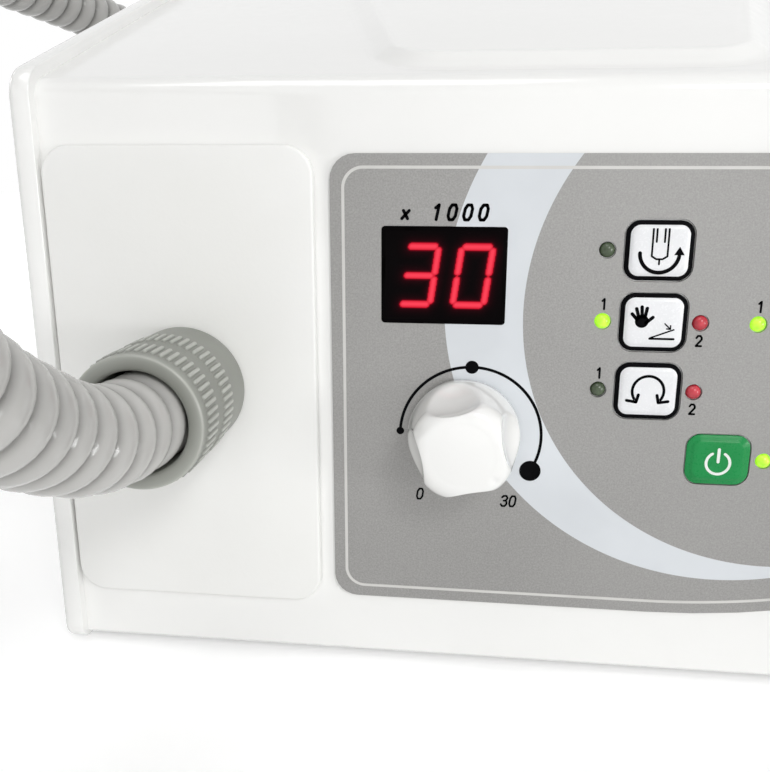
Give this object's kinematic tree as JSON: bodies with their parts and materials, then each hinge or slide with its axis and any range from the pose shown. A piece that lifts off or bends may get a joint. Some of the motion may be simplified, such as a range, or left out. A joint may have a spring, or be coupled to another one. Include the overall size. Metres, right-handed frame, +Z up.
{
  "type": "suction micromotor",
  "caption": "Benchtop suction micromotor: sloped white casing, silver control panel with knobs, keys and a red display, and a ribbed suction hose that ends in a handpiece.",
  "frame": {"origin": "floor under the centre of the casing with its collar and handpiece, without the hose", "axes": "+X to the right as the front is seen, +Y to the back, +Z up"},
  "size_m": [0.3633, 0.5162, 0.2232],
  "materials": {
    "casing_white": "glossy white moulded plastic",
    "plate_white": "white plastic with a fine orange-peel grain",
    "rear_white": "satin white plastic",
    "base_grey": "satin light grey plastic",
    "black_rubber": "matt black rubber",
    "screw_steel": "plated steel",
    "contact_brass": "nickel-plated brass contacts",
    "black_plastic": "satin black plastic",
    "collar_grey": "satin grey plastic",
    "dark_plastic": "matt dark grey plastic",
    "filter_cloth": "folded filter paper",
    "wheel_aluminium": "bare aluminium",
    "shaft_steel": "ground steel",
    "motor_metal": "grey metal can",
    "panel_silver": "silver-grey printed film with a fine grain",
    "display_tint": "glossy dark red tinted window",
    "digit_red": "lit red bars",
    "board_green": "green circuit board",
    "lamp_lit": "lit green lamp",
    "lamp_dark": "unlit green lamp",
    "lamp_red": "unlit red lamp",
    "knob_white": "glossy white plastic",
    "key_white": "white key with a dark outline",
    "key_green": "green key with a white symbol",
    "coil_tape": "wound core with yellow tape",
    "hose_grey": "light warm grey ribbed plastic",
    "cuff_grey": "grey rubber",
    "hand_white": "off-white plastic",
    "ring_steel": "brushed steel",
    "hood_clear": "pale milky plastic"
  },
  "bodies": {
    "casing": {"main_shell": "casing_white", "left_cheek": "casing_white", "right_cheek": "casing_white", "base_plate": "base_grey", "rubber_feet": "black_rubber", "base_screws": "screw_steel", "rear_panel": "rear_white", "rear_screws": "screw_steel", "mains_inlet": "black_plastic", "inlet_pins": "contact_brass", "pedal_jack": "black_plastic", "hose_plate": "plate_white", "hose_spigot": "collar_grey", "spigot_gasket": "black_rubber", "spigot_nut": "collar_grey", "filter_box": "dark_plastic", "filter_pleats": "filter_cloth", "filter_lid": "dark_plastic", "duct_seal": "black_rubber", "blower_housing": "dark_plastic", "blower_motor": "motor_metal", "control_panel": "panel_silver", "display_window": "display_tint", "display_module": "black_plastic", "display_digits": "digit_red", "control_board": "board_green", "board_screws": "screw_steel", "key_switches": "black_plastic", "lamps_green_on": "lamp_lit", "lamps_green_off": "lamp_dark", "lamps_red": "lamp_red", "speed_pot": "motor_metal", "suction_pot": "motor_metal", "power_board": "board_green", "transformer": "coil_tape", "capacitors": "black_plastic", "hose_run": "hose_grey", "hose_cuff": "cuff_grey", "handpiece_barrel": "hand_white", "nose_cone": "ring_steel", "suction_hood": "hood_clear"},
    "collar": {"hose_collar": "collar_grey"},
    "blower_wheel": {"blower_impeller": "wheel_aluminium", "blower_shaft": "shaft_steel"},
    "speed_control": {"speed_knob": "knob_white", "speed_shaft": "shaft_steel"},
    "suction_control": {"suction_knob": "knob_white", "suction_shaft": "shaft_steel"},
    "tool_button": {"key_tool": "key_white"},
    "source_button": {"key_source": "key_white"},
    "direction_button": {"key_direction": "key_white"},
    "auto_button": {"key_auto": "key_white"},
    "power_button": {"key_power": "key_green"},
    "grip_ring": {"lock_ring": "ring_steel"},
    "spindle": {"tool_spindle": "shaft_steel"}
  },
  "joints": [
    {"name": "collar_turn", "type": "hinge", "parent": "casing", "child": "collar", "pos_m": [-0.07985, -0.113, 0.0635], "axis": [0, -1, 0], "range_deg": [0, 60]},
    {"name": "wheel_spin", "type": "hinge", "parent": "casing", "child": "blower_wheel", "pos_m": [-0.06225, 0.02, 0.058], "axis": [0, 1, 0], "continuous": true},
    {"name": "speed_turn", "type": "hinge", "parent": "casing", "child": "speed_control", "pos_m": [-0.0215, -0.107, 0.0551], "axis": [0, -1, 0], "range_deg": [0, 210]},
    {"name": "suction_turn", "type": "hinge", "parent": "casing", "child": "suction_control", "pos_m": [0.08, -0.107, 0.0551], "axis": [0, -1, 0], "range_deg": [0, 210]},
    {"name": "tool_press", "type": "slide", "parent": "casing", "child": "tool_button", "axis": [0, 1, 0], "range_m": [0, 0.0005], "stiffness_N_per_m": 700},
    {"name": "source_press", "type": "slide", "parent": "casing", "child": "source_button", "axis": [0, 1, 0], "range_m": [0, 0.0005], "stiffness_N_per_m": 700},
    {"name": "direction_press", "type": "slide", "parent": "casing", "child": "direction_button", "axis": [0, 1, 0], "range_m": [0, 0.0005], "stiffness_N_per_m": 700},
    {"name": "auto_press", "type": "slide", "parent": "casing", "child": "auto_button", "axis": [0, 1, 0], "range_m": [0, 0.0005], "stiffness_N_per_m": 700},
    {"name": "power_press", "type": "slide", "parent": "casing", "child": "power_button", "axis": [0, 1, 0], "range_m": [0, 0.0005], "stiffness_N_per_m": 700},
    {"name": "ring_turn", "type": "hinge", "parent": "casing", "child": "grip_ring", "pos_m": [-0.063, 0.115, 0.013], "axis": [-1, 0, 0], "range_deg": [0, 40]},
    {"name": "spindle_spin", "type": "hinge", "parent": "casing", "child": "spindle", "pos_m": [-0.09, 0.115, 0.013], "axis": [-1, 0, 0], "continuous": true}
  ]
}
